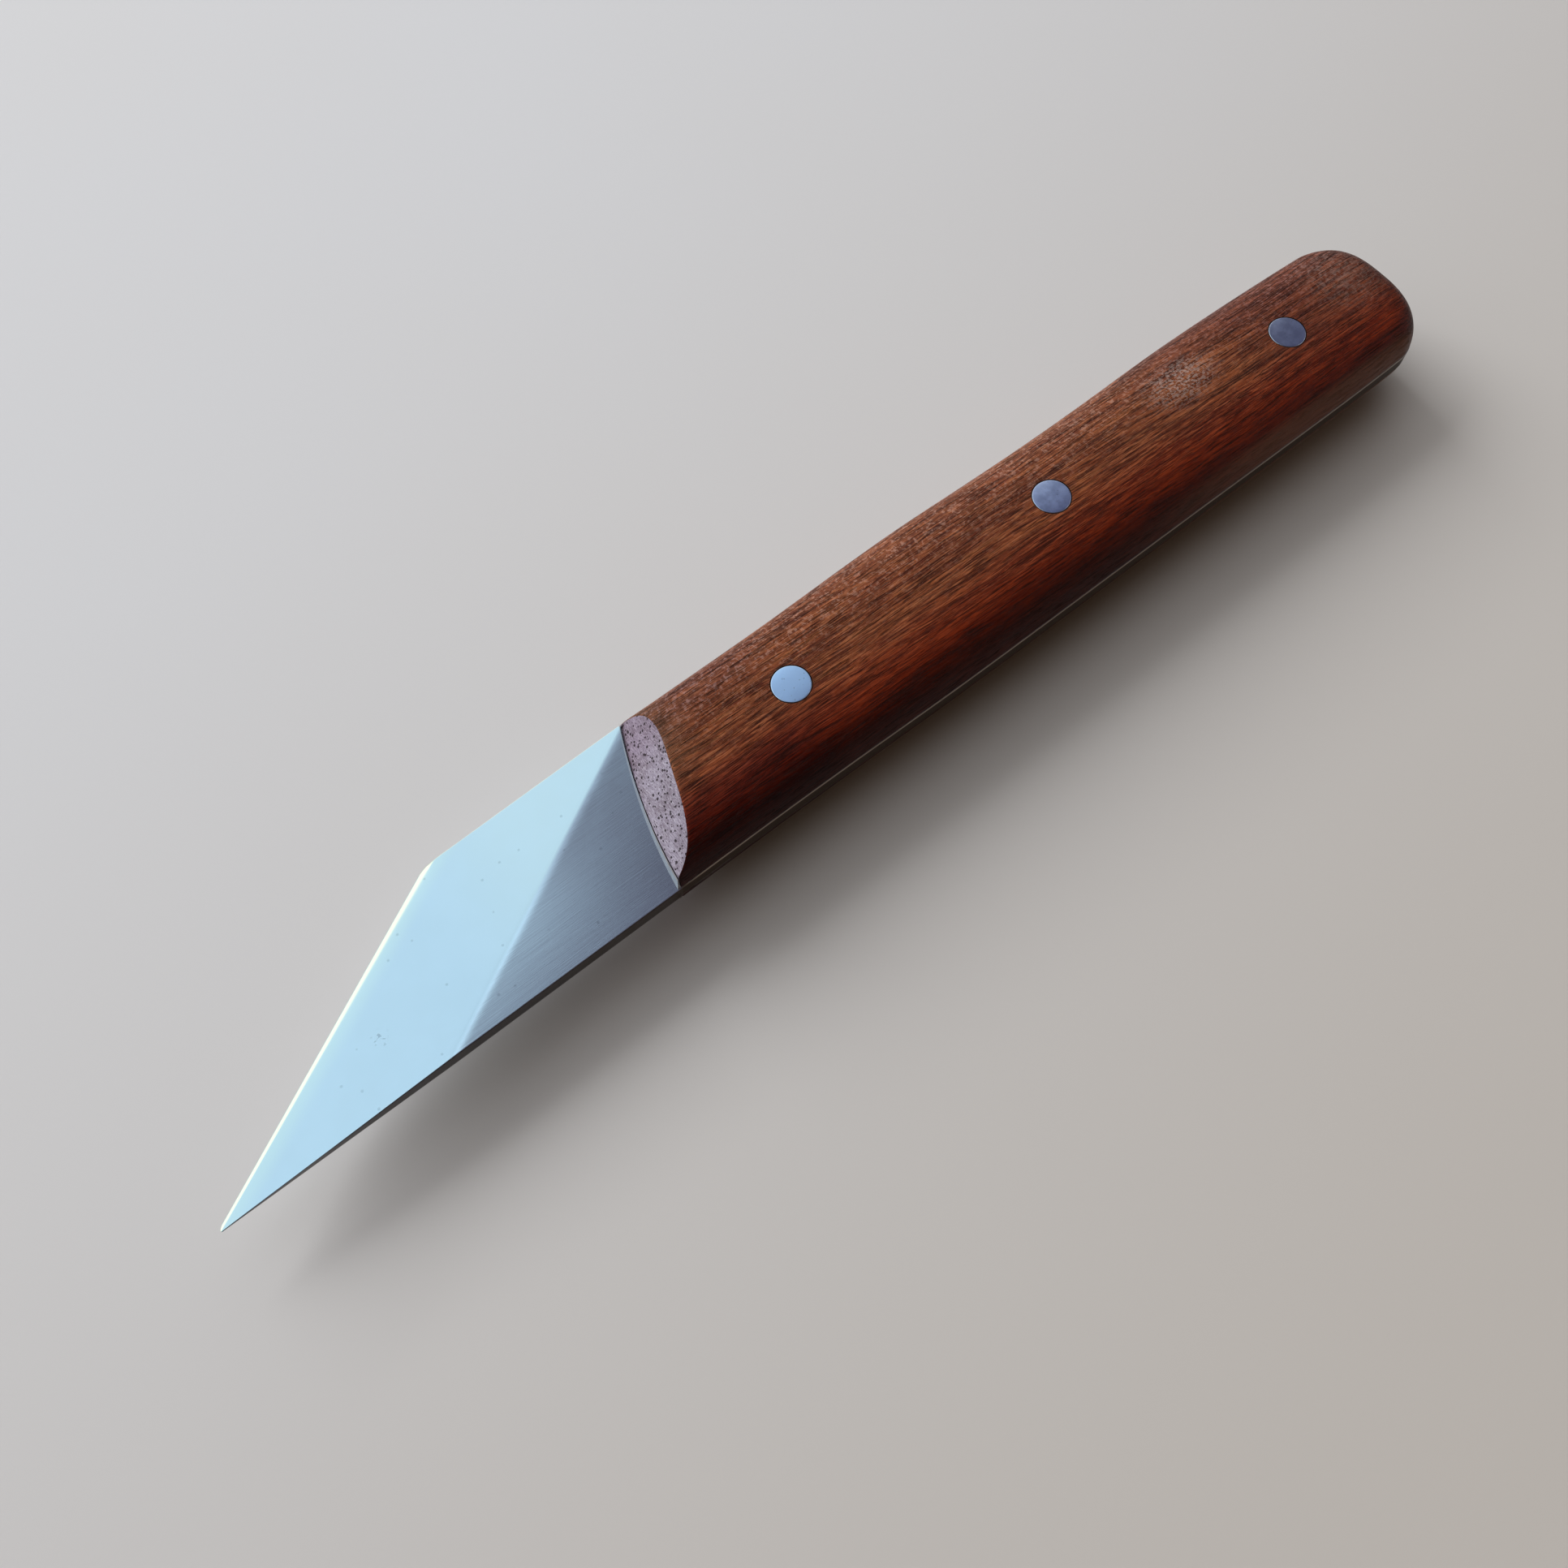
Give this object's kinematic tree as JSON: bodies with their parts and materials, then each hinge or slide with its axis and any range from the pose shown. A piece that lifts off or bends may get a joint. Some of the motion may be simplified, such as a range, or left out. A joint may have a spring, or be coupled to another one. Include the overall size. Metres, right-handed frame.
{
  "type": "whittling knife",
  "caption": "Fixed-blade whittling knife with a straight spine, a slanted double-bevel cutting edge and a riveted wooden handle on a full tang.",
  "frame": {"origin": "centre of the bounding box, on the steel's mid-plane", "axes": "+X along the knife towards the tip, +Y across it towards the spine, +Z out of the left flank; the knife lies on its side"},
  "size_m": [0.1834, 0.0214, 0.0146],
  "materials": {
    "blade_steel": "satin flank with fine lengthwise scratches, brighter bevel",
    "handle_wood": "oiled reddish-brown hardwood with dark pores; bare end grain on the front bevel",
    "epoxy": "clear to greyish cured epoxy",
    "pin_steel": "satin, ground flush"
  },
  "bodies": {
    "root": {"blade": "blade_steel", "scale_left": "handle_wood", "scale_right": "handle_wood", "bedding_left": "epoxy", "bedding_right": "epoxy", "pin_front": "pin_steel", "pin_middle": "pin_steel", "pin_rear": "pin_steel"}
  },
  "joints": []
}
